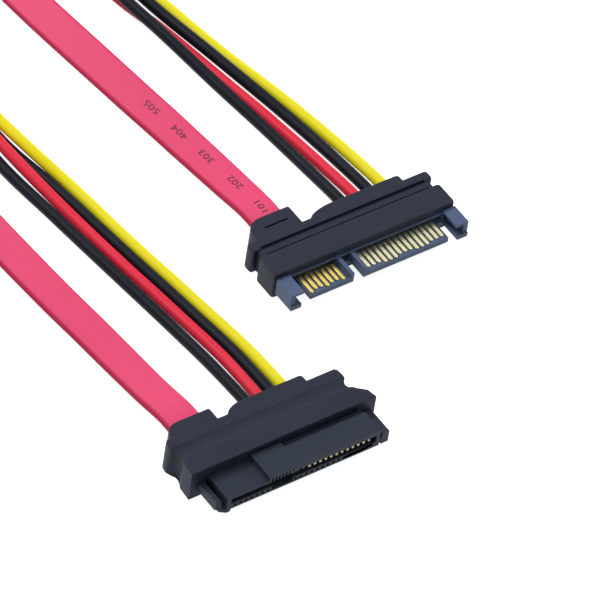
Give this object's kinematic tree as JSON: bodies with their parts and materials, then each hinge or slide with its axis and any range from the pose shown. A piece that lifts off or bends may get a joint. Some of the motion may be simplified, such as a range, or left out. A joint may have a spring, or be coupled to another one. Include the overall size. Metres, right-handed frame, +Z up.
{
  "type": "drive adapter cable",
  "caption": "Adapter cable that joins a drive plug to a wide drive receptacle with a flat data cable and loose power wires.",
  "frame": {"origin": "middle of the floor area that the two connectors take up, on the surface they lie on", "axes": "+X from the receptacle towards the plug and along both contact rows from signal to power, +Y from the mating faces back along the cable, +Z up"},
  "size_m": [0.0893, 0.2532, 0.0091],
  "materials": {
    "overmould": "dark slate moulding, fine grain",
    "plug_plastic": "blue-grey moulding",
    "receptacle_plastic": "dark slate moulding",
    "gold_plate": "gold plate",
    "pale_gold_plate": "pale gold plate",
    "pink_jacket": "satin pink-red jacket",
    "black_jacket": "satin black insulation",
    "red_jacket": "satin red insulation",
    "yellow_jacket": "satin yellow insulation",
    "tinned_copper": "tinned copper",
    "core_insulation": "off-white insulation"
  },
  "bodies": {
    "root": {"plug_overmould": "overmould", "plug_housing": "plug_plastic", "plug_signal_contact_1": "gold_plate", "plug_signal_contact_2": "gold_plate", "plug_signal_contact_3": "gold_plate", "plug_signal_contact_4": "gold_plate", "plug_signal_contact_5": "gold_plate", "plug_signal_contact_6": "gold_plate", "plug_signal_contact_7": "gold_plate", "plug_power_terminal_1": "pale_gold_plate", "plug_power_terminal_2": "pale_gold_plate", "plug_power_terminal_3": "pale_gold_plate", "plug_power_terminal_4": "pale_gold_plate", "plug_power_terminal_5": "pale_gold_plate", "receptacle_overmould": "overmould", "receptacle_housing": "receptacle_plastic", "receptacle_signal_contact_1": "gold_plate", "receptacle_signal_contact_2": "gold_plate", "receptacle_signal_contact_3": "gold_plate", "receptacle_signal_contact_4": "gold_plate", "receptacle_signal_contact_5": "gold_plate", "receptacle_signal_contact_6": "gold_plate", "receptacle_signal_contact_7": "gold_plate", "receptacle_power_terminal_1": "pale_gold_plate", "receptacle_power_terminal_2": "pale_gold_plate", "receptacle_power_terminal_3": "pale_gold_plate", "receptacle_power_terminal_4": "pale_gold_plate", "receptacle_power_terminal_5": "pale_gold_plate", "receptacle_second_port_contact_1": "gold_plate", "receptacle_second_port_contact_2": "gold_plate", "receptacle_second_port_contact_3": "gold_plate", "receptacle_second_port_contact_4": "gold_plate", "receptacle_second_port_contact_5": "gold_plate", "receptacle_second_port_contact_6": "gold_plate", "receptacle_second_port_contact_7": "gold_plate", "plug_data_core_1": "core_insulation", "plug_data_core_2": "core_insulation", "plug_data_core_3": "core_insulation", "plug_data_core_4": "core_insulation", "plug_data_drain_1": "tinned_copper", "plug_data_drain_2": "tinned_copper", "plug_data_drain_3": "tinned_copper", "receptacle_data_core_1": "core_insulation", "receptacle_data_core_2": "core_insulation", "receptacle_data_core_3": "core_insulation", "receptacle_data_core_4": "core_insulation", "receptacle_data_drain_1": "tinned_copper", "receptacle_data_drain_2": "tinned_copper", "receptacle_data_drain_3": "tinned_copper", "data_cable": "pink_jacket", "wire_black_1": "black_jacket", "wire_red": "red_jacket", "wire_black_2": "black_jacket", "wire_yellow": "yellow_jacket"}
  },
  "joints": []
}
